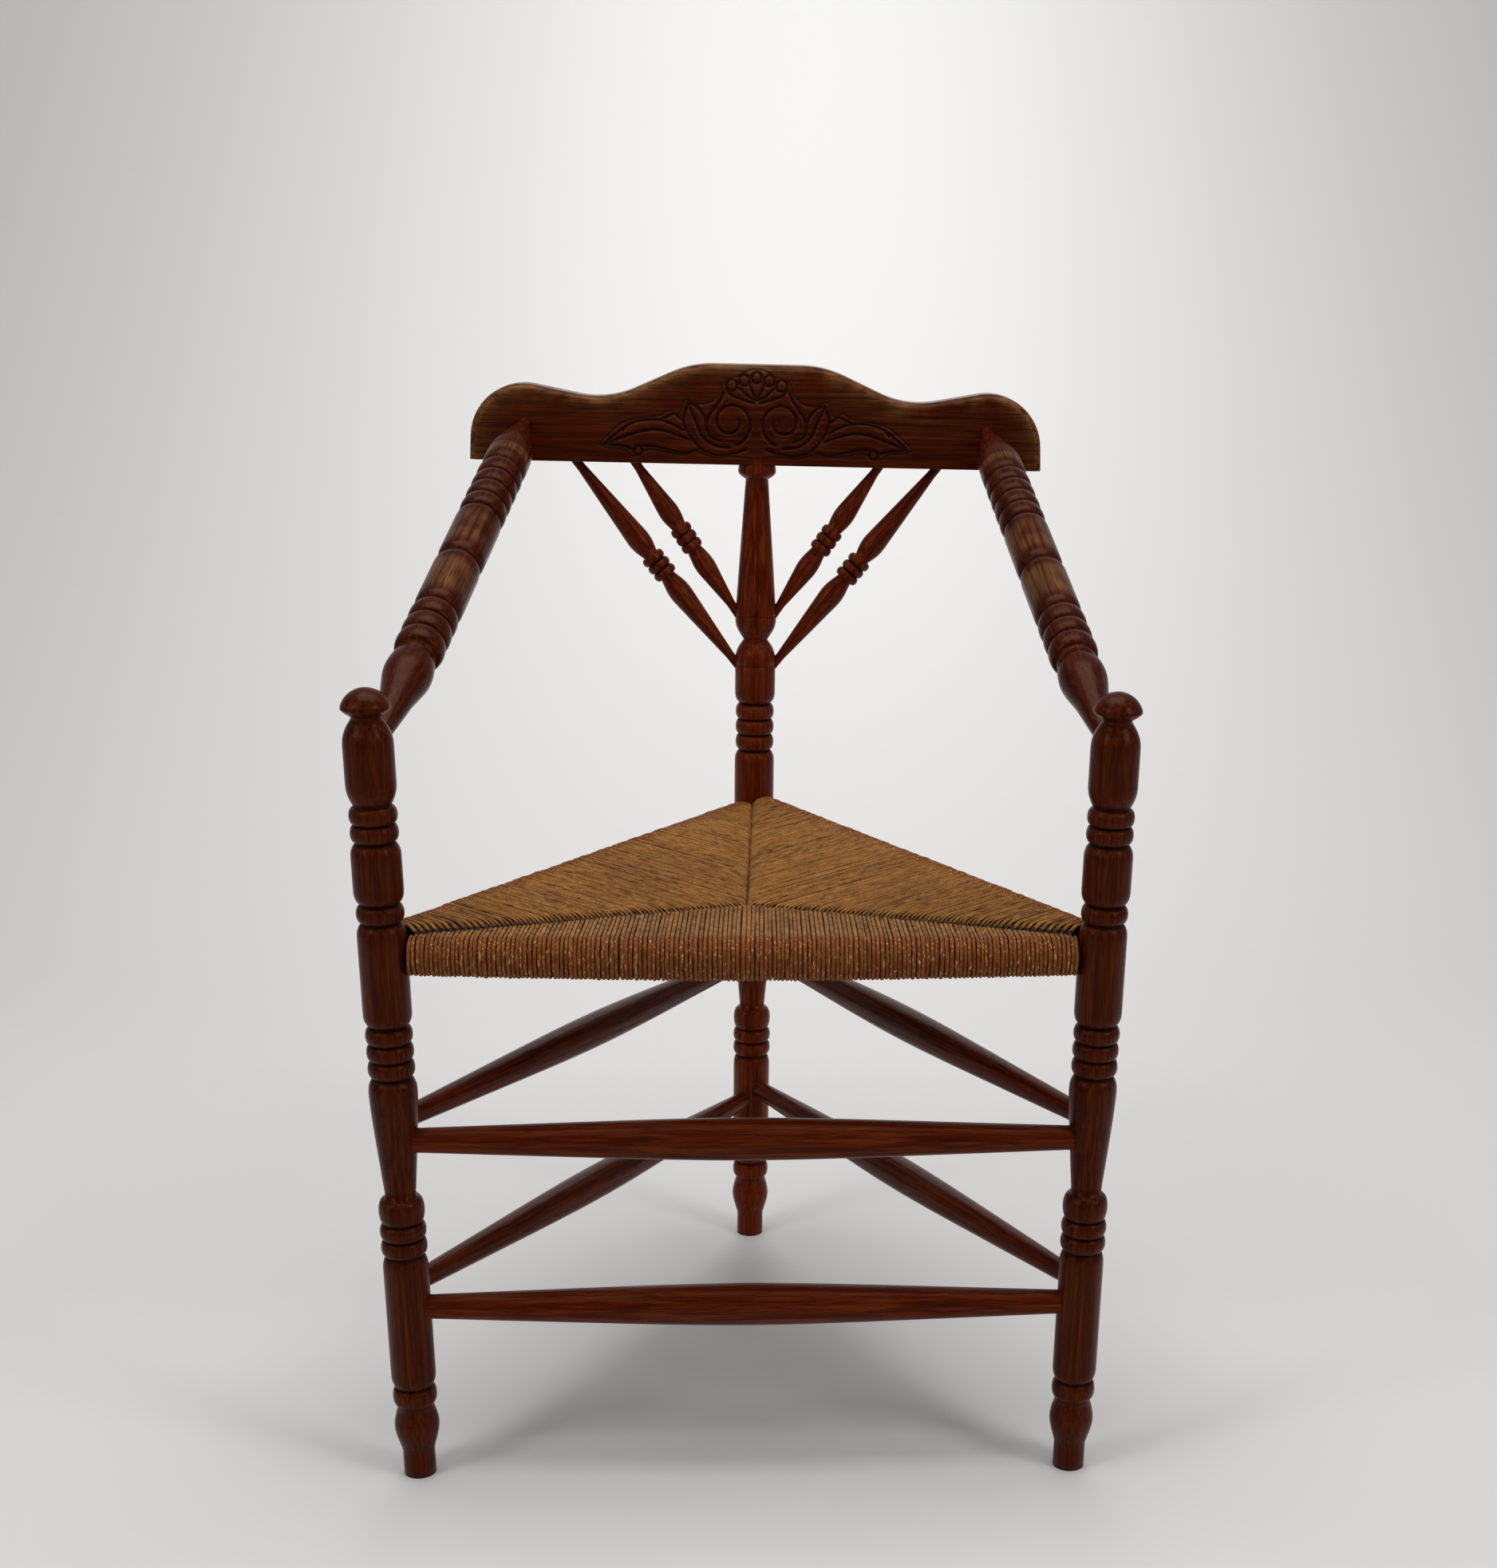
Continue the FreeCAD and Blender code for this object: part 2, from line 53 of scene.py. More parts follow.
# Turned pieces
TURNED_NODES = [
    "front_left_post", "front_right_post", "back_post",
    "upper_front_stretcher", "lower_front_stretcher",
    "upper_left_stretcher", "lower_left_stretcher",
    "upper_right_stretcher", "lower_right_stretcher",
    "left_arm", "right_arm",
    "left_outer_spindle", "right_outer_spindle",
    "left_inner_spindle", "right_inner_spindle",
]
SIDES_AROUND = 60
RING_SPACING = 9 * MM

# How the circles of a turned solid are found, and when a point of its outline counts
RING_GAP = 0.1 * MM
RING_TOLERANCE = 0.6 * MM
FEWEST_IN_RING = 30
SLAB_HEIGHT = 3 * MM
ROUNDNESS = 0.03
AXIS_ROUNDS = 3
SHORTEST_RUN = 1e-9
GROOVE_BEND = 0.02
STRAIGHT_TOLERANCE = 0.03 * MM
DOUBLE_POINT = 0.02 * MM
SKEW_DIRECTION = (0.36, 0.48, 0.8)

# Rounding of turned outlines
CORNER_ROUNDING = 8 * MM
SHALLOW_CORNER_ROUNDING = 45 * MM
SHALLOW_CORNER = math.radians(9)
CORNER_STEPS = 7
LONGEST_BEAD = 24 * MM
BEAD_STEPS = 14
BEAD_FULLNESS = 0.75
GROOVE_DEEPENING = 1.7 * MM
GROOVE_REACH = 5 * MM
GROOVE_DEPTH = 2.4 * MM

# Scribed lines, by their heights along the piece
SCRIBED_HALF_WIDTH = 0.8 * MM
SCRIBED_DEPTH = 0.9 * MM
SCRIBED_LINES = {
    "back_post": (581 * MM, 627 * MM),
    "left_arm": (132 * MM, 462 * MM),
    "right_arm": (128 * MM, 458 * MM),
}

# Plain stretches, where hands wear the stain
FLAT_REACH = 9 * MM
FLAT_TOLERANCE = 0.5 * MM
THIN_END = 14 * MM

# Crest rail: edge rounding, and columns and rows of its mesh
CREST_FRONT_ROUNDING = 8 * MM
CREST_BACK_ROUNDING = 4 * MM
CREST_BOTTOM_ROUNDING = 0.8 * MM
CARVING_HALF_WIDTH = 150 * MM
CARVING_STEP = 0.6 * MM
PLAIN_STEP = 3 * MM
CREST_FRONT_ROWS = 135
CREST_EDGE_TURN = math.radians(24)
CREST_EDGE_ROWS = 16
CREST_BACK_THINNING = 4
CREST_END_COLUMNS = 16
RIM_TOLERANCE = 0.2 * MM
RIM_SPACING = 0.3 * MM
RIM_VIEWPOINT_BELOW = 0.2

# Carving, in millimetres across and above the crest rail's bottom; the right half, which is mirrored
CARVING_MIDDLE = -1.0
CARVING_RELIEF = 1.3
CARVING_CUT = 1.5
CARVING_CUT_WIDTH = 1.0
CARVING_SWELL = 3.0
CARVING_EDGE_CUT = 0.6
CARVING_BOTTOM = 2
CARVING_TOP = 86
STROKE_STEPS = 8
OUTLINE_STEPS = 5
CIRCLE_POINTS = 25
SCROLL_CENTRE = (23.5, 38.0)
SCROLL_EYE_RADIUS = 7.5
SCROLL_OUTER_RADIUS = 21.0
SCROLL_TURNS = 1.25
SCROLL_START = math.radians(-105)
SCROLL_TIGHTENING = 0.8
SCROLL_STEPS = 60
LEAF_STROKES = [
    [(9, 14), (20, 10.5), (36, 8.5), (50, 14), (60, 25), (66, 38), (62, 54)],
    [(24, 15), (38, 17), (49, 25), (55, 38), (62, 54)],
    [(45, 33), (47, 42), (53, 50), (62, 54)],
    [(33, 21), (42, 25), (45, 33), (43, 43), (38, 50)],
    [(66, 38), (74, 44), (80, 42), (86, 39)],
    [(66, 30), (78, 36), (90, 38.5), (105, 37.5), (117, 33), (121, 28)],
    [(62, 22), (76, 27), (92, 30), (108, 27), (122, 22), (138, 16)],
    [(50, 14), (64, 10), (78, 12), (92, 15), (103, 15.5)],
    [(117, 33), (128, 25), (138, 16)],
    [(110, 12), (122, 15), (138, 16)],
]
LEAF_BUD = (107, 11, 4.0)
FLOWER_LOBES = [(0, 77.5, 4.6), (11.2, 75, 4.8), (22.5, 70.5, 5.0)]
FLOWER_STROKES = [
    [(0, 57), (3.5, 64), (6.5, 71)],
    [(0, 57), (8, 61), (14, 67), (18, 69)],
    [(3, 55), (14, 58.5), (23, 62), (27.5, 67)],
    [(30, 64), (33, 57), (38, 51)],
]
CARVING_OUTLINE = [
    (0, 5), (20, 7.5), (38, 6), (54, 11), (66, 8), (82, 10), (98, 12), (110, 6), (122, 12), (141, 15),
    (130, 28), (119, 36), (104, 40), (88, 42), (78, 47), (70, 44), (64, 57), (54, 53), (42, 55), (34, 62),
    (29, 74), (20, 77), (12, 81), (5, 84), (0, 84),
]

# Rush seat
SEAT_MIDDLE = Vector((0, -91.9 * MM, 439 * MM))
SEAT_MIDDLE_THICKNESS = 13 * MM
SEAT_ROLL_RADIUS = 15.2 * MM
CORD_PITCH = 3.4 * MM
CORD_THICKNESS = 3.6 * MM
CORD_SIDES = 9
CORD_CROWDING = 1.04
CORD_TWIST_LENGTH = 22 * MM
CORD_TWIST_DEPTH = 0.07
CORD_STEPS_ON_TOP = 13
CORD_STEPS_BELOW = 5
CORD_STEPS_ROUND = 13
CORNER_CORDS = 11
CORNER_CORD_GROWTH = 0.45
SEAM_DIVE = 3.5 * MM
SEAM_DIVE_REACH = 7 * MM
SEAM_GAP = 0.4 * MM
ROLL_SAG = 5 * MM
CORE_INSET = 3.2 * MM
CORE_END_GAP = 2 * MM
CORE_COLUMNS = 80
SHORTEST_REACH = 1.5 * MM
CORD_WIDTHS = (0.86, 1.14)
CORD_INSET_SPREAD = 0.25
CORD_WANDER_UP = 0.18 * MM
CORD_WANDER_SIDEWAYS = 0.22 * MM
WANDER_KNOTS = 5
CORD_END_SIZE = 0.45
CORD_END_GROWTH = 0.3
POST_GAP = 0.8 * MM

# Oak: its colours, and for each kind of piece a shade factor, partly its own tone and partly painted light
# and shade, and its wear, which on the crest rail also paints a highlight along the rim
OAK_DARK = (0.034, 0.0022, 0.0006)
OAK_MIDDLE = (0.095, 0.0100, 0.0020)
OAK_STREAK = (0.175, 0.031, 0.006)
OAK_PORE = (0.009, 0.0025, 0.0015)
# Painted shade for grooves and carved cuts, laid on by their depth
OAK_GROOVE_PAINTED_SHADE = (0.006, 0.0018, 0.0012)
# Worn bare wood, whose colours also paint a highlight along the crest rail's rim
WORN_AND_SHEEN_DARK = (0.050, 0.014, 0.003)
WORN_AND_SHEEN_PALE = (0.23, 0.105, 0.034)
VARNISH_TINT = (1.0, 0.52, 0.30)
OAK_TONE_WEAR_AND_PAINTED_LIGHT = {
    "post": (0.62, 0.05),
    "stretcher": (1.0, 0.05),
    "spindle": (1.25, 0.1),
    "arm": (0.55, 0.6),
    "crest": (0.55, 1.2),
}

# Repeats per metre of the oak's noises, across and along the grain
FIGURE_REPEATS = (45, 45, 4)
STREAK_REPEATS = (380, 380, 11)
PORE_REPEATS = (1300, 1300, 55)
BLOTCH_REPEATS = 24.0

# Rush colours
RUSH_BROWN = (0.080, 0.020, 0.002)
RUSH_STRAW = (0.32, 0.118, 0.016)
RUSH_STRIPE = (0.52, 0.24, 0.050)
RUSH_SHADE = (0.10, 0.036, 0.008)
RUSH_RED = (0.20, 0.045, 0.006)
RUSH_FLECK = (0.85, 0.48, 0.20)
RUSH_FIBRE = (0.050, 0.014, 0.002)
# Painted shade between neighbouring cords
RUSH_GAP_SHADE = (0.010, 0.003, 0.001)
# Inner rush, darkened as painted shade seen in the gaps between cords
INNER_SHADE_DARK = (0.018, 0.007, 0.003)
INNER_SHADE_PALE = (0.06, 0.025, 0.010)

# Repeats per metre of the rush's noises, and how far apart the cords' stripes are drawn from each other
BROAD_REPEATS = 14.0
FIBRE_REPEATS = (900, 900, 900)
FLECK_REPEATS = (650, 650, 130)
INNER_REPEATS = (300, 300, 300)
STRIPE_REPEATS = 90.0
STRIPE_LANES = 57.0

# Sweep of floor and wall
SWEEP_FRONT = -3.0
SWEEP_WALL = 2.6
SWEEP_BEND = 1.6
SWEEP_BEND_STEPS = 24
SWEEP_HEIGHT = 4.5
SWEEP_HALF_WIDTH = 5.0
SWEEP_COLOR = (0.80, 0.80, 0.80)

# Sky, and the lamps as name, position, target, size and power
SKY_COLOR = (1.0, 0.95, 0.92)
SKY_STRENGTH = 0.225
LIGHTS = [
    ("top_softbox", (0.0, -0.1, 2.6), (0.0, 0.0, 0.3), (2.2, 1.4), 34),
    ("left_softbox", (-2.0, -1.5, 1.9), (0.0, 0.0, 0.4), (0.7, 1.2), 13),
    ("right_softbox", (2.0, -1.5, 1.9), (0.0, 0.0, 0.4), (0.7, 1.2), 16),
    ("wall_glow", (0.1, 1.75, 2.05), (0.05, 2.6, 1.1), (0.7, 0.3), 5.5),
    ("back_glow", (0.1, 1.5, 1.5), (0.05, 2.1, 0.2), (0.9, 0.3), 4.5),
]


# Meshes


def mesh_object(name, vertices, faces, place=None):
    """Smooth-shaded mesh object from arrays of corners and faces."""
    mesh = bpy.data.meshes.new(name)
    mesh.from_pydata([tuple(v) for v in vertices], [], [tuple(int(i) for i in f) for f in faces])
    mesh.shade_smooth()
    mesh.validate()
    piece = bpy.data.objects.new(name, mesh)
    bpy.context.scene.collection.objects.link(piece)
    if place is not None:
        piece.matrix_world = place
    return piece


def add_values(piece, name, values):
    """A number at every vertex, for the piece's material."""
    attribute = piece.data.attributes.new(name, "FLOAT", "POINT")
    attribute.data.foreach_set("value", np.asarray(values, dtype=np.float32))


def grid_faces(rows, columns, closed):
    """Quads over a grid of vertices, whose rows may close on themselves."""
    faces = []
    across = columns if closed else columns - 1
    for row in range(rows - 1):
        for column in range(across):
            following = (column + 1) % columns
            low = row * columns
            high = low + columns
            faces.append((low + column, low + following, high + following, high + column))
    return faces


# Turned wood


def node_points(name):
    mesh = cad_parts[name].data
    points = np.empty(len(mesh.vertices) * 3)
    mesh.vertices.foreach_get("co", points)
    return points.reshape(-1, 3)


def rings_along(points, origin, axis):
    """Full circles of vertices about an axis, as (height, radius, centre)."""
    offsets = points - origin
    heights = offsets @ axis
    order = np.argsort(heights)
    breaks = np.where(np.diff(heights[order]) > RING_GAP)[0] + 1
    rings = []
    for group in np.split(order, breaks):
        if len(group) < FEWEST_IN_RING:
            continue
        flat = offsets[group] - np.outer(heights[group], axis)
        radii = np.linalg.norm(flat, axis=1)
        kept = group[np.abs(radii - np.median(radii)) < RING_TOLERANCE]
        if len(kept) < FEWEST_IN_RING:
            continue
        rings.append((heights[kept].mean(), np.median(radii), points[kept].mean(axis=0)))
    return rings


def slab_centres(points, origin, axis):
    """Middles of the thin slices across an axis whose vertices go all the way round it."""
    first = np.cross(axis, SKEW_DIRECTION)
    first /= np.linalg.norm(first)
    across = np.stack([first, np.cross(axis, first)])
    heights = (points - origin) @ axis
    slabs = np.floor(heights / SLAB_HEIGHT).astype(int)
    centres = []
    for slab in np.unique(slabs):
        inside = slabs == slab
        if inside.sum() < FEWEST_IN_RING:
            continue
        flat = (points[inside] - origin) @ across.T
        low, high = flat.min(axis=0), flat.max(axis=0)
        width, depth = high - low
        if abs(width - depth) < ROUNDNESS * max(width, depth):
            middle = (low + high) / 2
            centres.append(origin + heights[inside].mean() * axis + middle @ across)
    return np.array(centres)


def line_through(centres):
    """Middle and upward direction of the straight line that fits some points best."""
    axis = np.linalg.svd(centres - centres.mean(axis=0), full_matrices=False)[2][0]
    return centres.mean(axis=0), axis if axis[2] > 0 else -axis


def turned_outline(name):
    """The axis of a turned node, and its outline as heights and radii, read from its circles."""
    points = np.unique(np.round(node_points(name), 7), axis=0)
    origin, axis = line_through(points)
    for _ in range(AXIS_ROUNDS):
        origin, axis = line_through(slab_centres(points, origin, axis))
    for _ in range(AXIS_ROUNDS):
        rings = rings_along(points, origin, axis)
        origin, axis = line_through(np.array([centre for _, _, centre in rings]))
    rings = rings_along(points, origin, axis)
    heights = np.array([height for height, _, _ in rings])
    radii = np.array([radius for _, radius, _ in rings])
    reach = (points - origin) @ axis
    low = reach.min()
    return origin + axis * low, axis, heights - low, radii, reach.max() - low


def corners_only(outline):
    """The outline without the points that lie on a straight line between their neighbours."""
    kept = [outline[0]]
    for before, here, after in zip(outline, outline[1:], outline[2:]):
        run = after[0] - before[0]
        if run < SHORTEST_RUN:
            kept.append(here)
            continue
        on_line = before[1] + (after[1] - before[1]) * (here[0] - before[0]) / run
        if abs(here[1] - on_line) > STRAIGHT_TOLERANCE:
            kept.append(here)
    kept.append(outline[-1])
    return kept


def is_groove(before, here, after):
    """Whether the outline bends outwards on both sides of a point."""
    first = (here[1] - before[1]) / max(here[0] - before[0], SHORTEST_RUN)
    last = (after[1] - here[1]) / max(after[0] - here[0], SHORTEST_RUN)
    return last > first + GROOVE_BEND


def bead_curve(start, end, top):
    """Full round bead from one groove to the next."""
    points = []
    for step in range(BEAD_STEPS + 1):
        turn = math.pi * step / BEAD_STEPS
        share = (1 - math.cos(turn)) / 2
        base = start[1] + (end[1] - start[1]) * share
        points.append(np.array((start[0] + (end[0] - start[0]) * share,
                                base + (top - base) * math.sin(turn) ** BEAD_FULLNESS)))
    return points


def corner_curve(before, here, after, cut_before, cut_after):
    """Outer corner softened between a cut on each side of it."""
    first, last = before - here, after - here
    start = here + first / np.linalg.norm(first) * cut_before
    end = here + last / np.linalg.norm(last) * cut_after
    steps = np.linspace(0, 1, CORNER_STEPS + 1)
    return [start * (1 - t) ** 2 + here * 2 * t * (1 - t) + end * t ** 2 for t in steps]


def outer_corner(points, grooves, i):
    """Curve that softens one outer corner, no longer than the room to its neighbours."""
    before, here, after = points[i - 1:i + 2]
    room_before = np.linalg.norm(before - here) * (1 if grooves[i - 1] else 0.5)
    room_after = np.linalg.norm(after - here) * (1 if grooves[i + 1] else 0.5)
    turn = math.atan2(*(here - before)[::-1]) - math.atan2(*(after - here)[::-1])
    limit = SHALLOW_CORNER_ROUNDING if turn < SHALLOW_CORNER else CORNER_ROUNDING
    return corner_curve(before, here, after, min(limit, room_before), min(limit, room_after))


def bead_ends(points, grooves, i):
    """The groove that ends the bead which starts at one, and the bead's top, or none without a bead."""
    following = next((j for j in range(i + 1, len(points) - 1) if grooves[j]), None)
    if not grooves[i] or following is None or points[following][0] - points[i][0] >= LONGEST_BEAD:
        return None, 0
    top = max(point[1] for point in points[i:following + 1])
    if top <= max(points[i][1], points[following][1]) + MM:
        return None, 0
    return following, top


def rounded(outline):
    """The outline with full beads and soft outer corners, as a gouge leaves them, between sharp grooves."""
    points = [np.array(point) for point in outline]
    last = len(points) - 1
    inner = [is_groove(*points[i - 1:i + 2]) for i in range(1, last)]
    grooves = [False] + inner + [False]
    for i in range(1, last):
        steep = min(points[i - 1][1], points[i + 1][1]) > points[i][1] + MM
        if grooves[i] and steep:
            points[i] = points[i] - np.array((0, GROOVE_DEEPENING))
    result = [points[0]]
    i = 1
    while i < last:
        following, top = bead_ends(points, grooves, i)
        if following is not None:
            result.extend(bead_curve(points[i], points[following], top))
            i = following
            continue
        if grooves[i]:
            result.append(points[i])
        else:
            result.extend(outer_corner(points, grooves, i))
        i += 1
    result.append(points[last])
    return without_doubles(result)


def without_doubles(points):
    """The outline without points that lie on top of the one before."""
    kept = [points[0]]
    for point in points[1:]:
        if np.linalg.norm(point - kept[-1]) > DOUBLE_POINT:
            kept.append(point)
    return kept


def scribed(points, heights):
    """The outline with fine V lines cut at some heights."""
    points = np.array(points)
    for height in heights:
        radius = np.interp(height, points[:, 0], points[:, 1])
        apart = np.abs(points[:, 0] - height) > SCRIBED_HALF_WIDTH
        line = [
            (height - SCRIBED_HALF_WIDTH, radius),
            (height, radius - SCRIBED_DEPTH),
            (height + SCRIBED_HALF_WIDTH, radius),
        ]
        points = np.vstack([points[apart], line])
        points = points[np.argsort(points[:, 0], kind="stable")]
    return list(points)


def subdivided(points):
    """The outline with long straight stretches divided."""
    result = [points[0]]
    for start, end in zip(points, points[1:]):
        count = max(1, math.ceil(np.linalg.norm(end - start) / RING_SPACING))
        for step in range(1, count + 1):
            result.append(start + (end - start) * step / count)
    return result


def groove_values(outline):
    """How deep each outline point lies below the wood around it, from 0 to 1."""
    heights = outline[:, 0]
    radii = outline[:, 1]
    values = []
    for height, radius in outline:
        near = np.abs(heights - height) < GROOVE_REACH
        below = heights[near] <= height
        above = heights[near] >= height
        shoulder = min(radii[near][below].max(), radii[near][above].max())
        values.append(min(1.0, max(0.0, shoulder - radius) / GROOVE_DEPTH))
    return np.array(values)


def flat_values(outline):
    """1 along plain barrels and tapers, where hands wear the stain, and 0 among beads and grooves."""
    heights = outline[:, 0]
    radii = outline[:, 1]
    values = []
    for height in heights:
        near = radii[np.abs(heights - height) < FLAT_REACH]
        values.append(1.0 if np.ptp(near) < FLAT_TOLERANCE and near.max() > THIN_END else 0.0)
    return np.array(values)


def axis_place(foot, axis):
    """Matrix of a turned piece's own frame: origin at its foot and Z along its axis."""
    turn = Vector((0, 0, 1)).rotation_difference(Vector(axis))
    return Matrix.Translation(Vector(foot)) @ turn.to_matrix().to_4x4()


def rest_on_floor(piece):
    """Flatten what little of a leaning foot would reach below the floor."""
    place = piece.matrix_world
    back = place.inverted()
    for vertex in piece.data.vertices:
        point = place @ vertex.co
        if point.z < 0:
            vertex.co = back @ Vector((point.x, point.y, 0))


def lathe(outline, top):
    """Closed surface of an outline turned about Z, with a tip in the middle of each end."""
    around = np.linspace(0, 2 * math.pi, SIDES_AROUND, endpoint=False)
    circle = np.stack([np.cos(around), np.sin(around)], axis=1)
    rings = [np.column_stack([circle * radius, np.full(SIDES_AROUND, height)]) for height, radius in outline]
    faces = grid_faces(len(outline), SIDES_AROUND, True)
    last = (len(outline) - 1) * SIDES_AROUND
    tip = last + SIDES_AROUND
    tips = [(0, 0, outline[0][0]), (0, 0, max(top, outline[-1][0]))]
    for side in range(SIDES_AROUND):
        following = (side + 1) % SIDES_AROUND
        faces.append((following, side, tip))
        faces.append((last + side, last + following, tip + 1))
    return np.vstack(rings + tips), faces


def turned_piece(name):
    """Smooth lathe mesh in place of a turned node."""
    foot, axis, heights, radii, top = turned_outline(name)
    outline = corners_only(list(zip(heights, radii)))
    curved = scribed(rounded(outline), SCRIBED_LINES.get(name, ()))
    smooth = np.array(subdivided(curved))
    vertices, faces = lathe(smooth, top)
    piece = mesh_object("turned_" + name, vertices, faces, axis_place(foot, axis))
    rest_on_floor(piece)
    # The groove value sets the painted shade in grooves, and their roughness
    grooves = np.repeat(groove_values(smooth), SIDES_AROUND)
    add_values(piece, "groove", np.append(grooves, (0, 0)))
    flats = np.repeat(flat_values(smooth), SIDES_AROUND)
    add_values(piece, "flat", np.append(flats, (0, 0)))
    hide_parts(name)
    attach(piece, "root")
    return piece


# Crest rail


def crest_place():
    """Matrix of the crest rail's own frame: X along it, Z up from its flat bottom, Y to the back."""
    foot, axis, _, _, _ = turned_outline("back_post")
    up = Vector(axis)
    bottom = ((node_points("crest_rail") - foot) @ axis).min()
    along = Vector((0, 1, 0)).cross(up).normalized()
    turn = Matrix((along, up.cross(along), up)).transposed().to_4x4()
    return Matrix.Translation(Vector(foot) + up * bottom) @ turn


def crest_outline(place):
    """The crest rail's outline from its left lower corner over its top, and its half thickness."""
    inverse = np.array(place.inverted())
    points = node_points("crest_rail") @ inverse[:3, :3].T + inverse[:3, 3]
    half_thickness = points[:, 1].max()
    rim_depth = half_thickness - CREST_BACK_ROUNDING
    rim = points[np.abs(points[:, 1] - rim_depth) < RIM_TOLERANCE][:, [0, 2]]
    order = np.argsort(np.arctan2(rim[:, 0], rim[:, 1] + RIM_VIEWPOINT_BELOW))
    rim = rim[order]
    apart = np.append(True, np.linalg.norm(np.diff(rim, axis=0), axis=1) > RIM_SPACING)
    return rim[apart], half_thickness


def distance_to_lines(points, starts, ends):
    """Distance from each point to the nearest of some straight lines in a plane."""
    nearest = np.full(len(points), np.inf)
    for start, end in zip(starts, ends):
        run = end - start
        share = np.clip((points - start) @ run / max(run @ run, 1e-12), 0, 1)
        gap = np.linalg.norm(points - start - share[:, None] * run, axis=1)
        nearest = np.minimum(nearest, gap)
    return nearest


def smooth_stroke(controls, steps):
    """Points of a smooth curve through given control points."""
    controls = np.array(controls, dtype=float)
    padded = np.vstack([2 * controls[0] - controls[1], controls, 2 * controls[-1] - controls[-2]])
    points = []
    for before, start, end, after in zip(padded, padded[1:], padded[2:], padded[3:]):
        for step in range(steps):
            t = step / steps
            bend = 2 * before - 5 * start + 4 * end - after
            twist = 3 * start - before - 3 * end + after
            points.append(start + 0.5 * t * (end - before + t * (bend + t * twist)))
    points.append(controls[-1])
    return np.array(points)


def scroll_stroke():
    """Spiral of the C-scroll, from under the scroll round to its eye."""
    points = []
    across, above = SCROLL_CENTRE
    tightening = SCROLL_EYE_RADIUS - SCROLL_OUTER_RADIUS
    for step in range(SCROLL_STEPS + 1):
        share = step / SCROLL_STEPS
        turn = SCROLL_START - 2 * math.pi * SCROLL_TURNS * share
        radius = SCROLL_OUTER_RADIUS + tightening * share ** SCROLL_TIGHTENING
        points.append((across + radius * math.cos(turn), above + radius * math.sin(turn)))
    return np.array(points)


def circle_stroke(across, above, radius):
    turns = np.linspace(0, 2 * math.pi, CIRCLE_POINTS)
    return np.column_stack([across + radius * np.cos(turns), above + radius * np.sin(turns)])


def carving_strokes():
    strokes = [smooth_stroke(stroke, STROKE_STEPS) for stroke in LEAF_STROKES + FLOWER_STROKES]
    strokes.append(scroll_stroke())
    strokes.extend(circle_stroke(*lobe) for lobe in FLOWER_LOBES + [LEAF_BUD])
    return strokes


def inside_outline(points, outline):
    """Whether each point lies inside a closed outline."""
    inside = np.zeros(len(points), dtype=bool)
    x, z = points[:, 0], points[:, 1]
    for (x1, z1), (x2, z2) in zip(outline, np.roll(outline, -1, axis=0)):
        crosses = (z1 > z) != (z2 > z)
        with np.errstate(divide="ignore", invalid="ignore"):
            inside ^= crosses & (x < (x2 - x1) * (z - z1) / (z2 - z1) + x1)
    return inside


def carving_height(across, above):
    """Height of the carving above the crest rail's face, and how deep its cuts are, from 0 to 1."""
    points = np.column_stack([np.abs(across / MM - CARVING_MIDDLE), above / MM])
    height = np.zeros(len(points))
    cut = np.zeros(len(points))
    near = points[:, 0] < CARVING_HALF_WIDTH / MM
    near &= (points[:, 1] > CARVING_BOTTOM) & (points[:, 1] < CARVING_TOP)
    spots = points[near]
    to_cut = np.full(len(spots), np.inf)
    for stroke in carving_strokes():
        to_cut = np.minimum(to_cut, distance_to_lines(spots, stroke[:-1], stroke[1:]))
    outline = smooth_stroke(CARVING_OUTLINE, OUTLINE_STEPS)
    to_edge = distance_to_lines(spots, outline[:-1], outline[1:])
    inside = inside_outline(spots, outline)
    swell = 1 - np.exp(-(np.minimum(to_cut, to_edge) / CARVING_SWELL) ** 2)
    depth = np.exp(-(to_cut / CARVING_CUT_WIDTH) ** 2)
    edge_cut = CARVING_EDGE_CUT * np.exp(-(to_edge / CARVING_CUT_WIDTH) ** 2)
    cut[near] = np.maximum(depth, edge_cut)
    height[near] = np.where(inside, CARVING_RELIEF * swell, 0) - CARVING_CUT * cut[near]
    return height * MM, cut


def rounding_depth(distance, radius):
    """How far a rounded edge lies below the face, at a distance from the outline."""
    inner = np.clip(radius - distance, 0, radius)
    return radius - np.sqrt(np.maximum(radius ** 2 - inner ** 2, 0))


def crest_columns(rim):
    """Places across the crest rail where its mesh has a column of vertices."""
    carving = np.arange(-CARVING_HALF_WIDTH, CARVING_HALF_WIDTH, CARVING_STEP)
    plain = np.arange(CARVING_HALF_WIDTH, rim[-1][0] - CREST_FRONT_ROUNDING, PLAIN_STEP)
    end_turns = np.linspace(0, math.pi / 2, CREST_END_COLUMNS)
    ends = rim[-1][0] - CREST_FRONT_ROUNDING * (1 - np.sin(end_turns))
    right = np.concatenate([plain, ends])
    return np.unique(np.round(np.concatenate([-right, carving, right]), 6))


def crest_rows():
    """Shares of the crest rail's height at which its mesh has a row, closer together at the top edge."""
    edge = math.cos(CREST_EDGE_TURN)
    face = np.linspace(0, edge, CREST_FRONT_ROWS)
    rounding = edge + (1 - edge) * np.sin(np.linspace(0, math.pi / 2, CREST_EDGE_ROWS))
    return np.concatenate([face, rounding[1:]])


